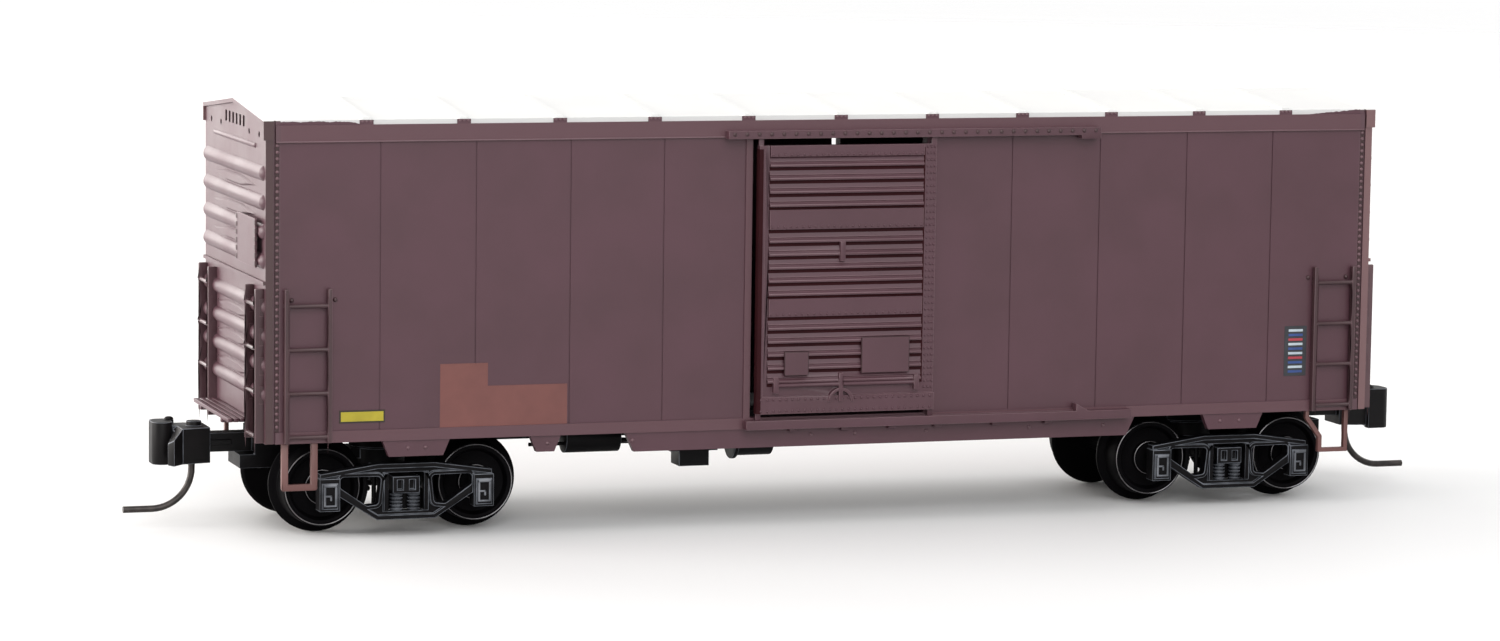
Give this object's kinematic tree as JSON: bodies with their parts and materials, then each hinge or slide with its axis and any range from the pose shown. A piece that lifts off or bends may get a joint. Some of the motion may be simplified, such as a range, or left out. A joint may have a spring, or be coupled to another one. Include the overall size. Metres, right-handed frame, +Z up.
{
  "type": "scale model railroad boxcar",
  "caption": "Small plastic model of a forty-foot railroad boxcar with corrugated sliding side doors, ribbed ends, gabled roof, swivelling trucks, rolling wheelsets and knuckle couplers.",
  "frame": {"origin": "on the floor under the middle of the car, at the lowest point of the wheel flanges", "axes": "+X along the car towards the brake-wheel end, +Z up, -Y towards the near side"},
  "size_m": [0.0926, 0.02, 0.0283],
  "materials": {
    "brown_plastic": "satin brown-maroon moulded plastic",
    "white_roof": "satin white",
    "black_plastic": "satin black moulded plastic",
    "wheel_black": "satin black moulded plastic with polished rim edges",
    "steel_plate": "bare steel",
    "trip_wire": "darkened steel wire"
  },
  "bodies": {
    "car_body": {"floor": "black_plastic", "centre_sill": "black_plastic", "cross_bearers": "black_plastic", "ballast_plate": "steel_plate", "brake_cylinder": "black_plastic", "air_reservoir": "black_plastic", "control_valve": "black_plastic", "roof": "white_roof", "brake_wheel": "brown_plastic", "end_board_left": "brown_plastic", "side_near": "brown_plastic", "side_far": "brown_plastic", "upper_track_near": "brown_plastic", "upper_track_far": "brown_plastic", "lower_track_near": "brown_plastic", "lower_track_far": "brown_plastic", "end_left": "brown_plastic", "end_right": "brown_plastic", "platform_left": "brown_plastic", "platform_right": "brown_plastic", "body_bolster_left": "black_plastic", "body_bolster_right": "black_plastic", "truck_pin_left": "black_plastic", "truck_pin_right": "black_plastic", "side_ladder_near_left": "brown_plastic", "step_near_left": "brown_plastic", "side_ladder_near_right": "brown_plastic", "step_near_right": "brown_plastic", "side_ladder_far_left": "brown_plastic", "step_far_left": "brown_plastic", "side_ladder_far_right": "brown_plastic", "step_far_right": "brown_plastic", "end_ladder_left_near": "brown_plastic", "end_ladder_left_far": "brown_plastic", "end_ladder_right_near": "brown_plastic", "end_ladder_right_far": "brown_plastic"},
    "door_near": {"door_near": "brown_plastic", "door_boards_near": "brown_plastic"},
    "door_far": {"door_far": "brown_plastic", "door_boards_far": "brown_plastic"},
    "truck_left": {"truck_frame_left": "black_plastic", "coupler_box_left": "black_plastic"},
    "coupler_left": {"coupler_left": "black_plastic", "trip_wire_left": "trip_wire"},
    "truck_right": {"truck_frame_right": "black_plastic", "coupler_box_right": "black_plastic"},
    "coupler_right": {"coupler_right": "black_plastic", "trip_wire_right": "trip_wire"},
    "wheelset_1": {"wheelset_1": "wheel_black"},
    "wheelset_2": {"wheelset_2": "wheel_black"},
    "wheelset_3": {"wheelset_3": "wheel_black"},
    "wheelset_4": {"wheelset_4": "wheel_black"}
  },
  "joints": [
    {"name": "door_near_slide", "type": "slide", "parent": "car_body", "child": "door_near", "axis": [1, 0, 0], "range_m": [0, 0.0102]},
    {"name": "door_far_slide", "type": "slide", "parent": "car_body", "child": "door_far", "axis": [-1, 0, 0], "range_m": [0, 0.0102]},
    {"name": "truck_left_swivel", "type": "hinge", "parent": "car_body", "child": "truck_left", "pos_m": [-0.0292, 0, 0.005], "axis": [0, 0, 1], "range_deg": [-12, 12]},
    {"name": "coupler_left_swing", "type": "hinge", "parent": "truck_left", "child": "coupler_left", "pos_m": [-0.0369, 0, 0.0055], "axis": [0, 0, 1], "range_deg": [-8, 8], "stiffness_Nm_per_rad": 0.00002},
    {"name": "truck_right_swivel", "type": "hinge", "parent": "car_body", "child": "truck_right", "pos_m": [0.0292, 0, 0.005], "axis": [0, 0, 1], "range_deg": [-12, 12]},
    {"name": "coupler_right_swing", "type": "hinge", "parent": "truck_right", "child": "coupler_right", "pos_m": [0.0369, 0, 0.0055], "axis": [0, 0, 1], "range_deg": [-8, 8], "stiffness_Nm_per_rad": 0.00002},
    {"name": "wheelset_1_spin", "type": "hinge", "parent": "truck_left", "child": "wheelset_1", "pos_m": [-0.03435, 0, 0.00317], "axis": [0, 1, 0], "continuous": true},
    {"name": "wheelset_2_spin", "type": "hinge", "parent": "truck_left", "child": "wheelset_2", "pos_m": [-0.02405, 0, 0.00317], "axis": [0, 1, 0], "continuous": true},
    {"name": "wheelset_3_spin", "type": "hinge", "parent": "truck_right", "child": "wheelset_3", "pos_m": [0.02405, 0, 0.00317], "axis": [0, 1, 0], "continuous": true},
    {"name": "wheelset_4_spin", "type": "hinge", "parent": "truck_right", "child": "wheelset_4", "pos_m": [0.03435, 0, 0.00317], "axis": [0, 1, 0], "continuous": true}
  ]
}
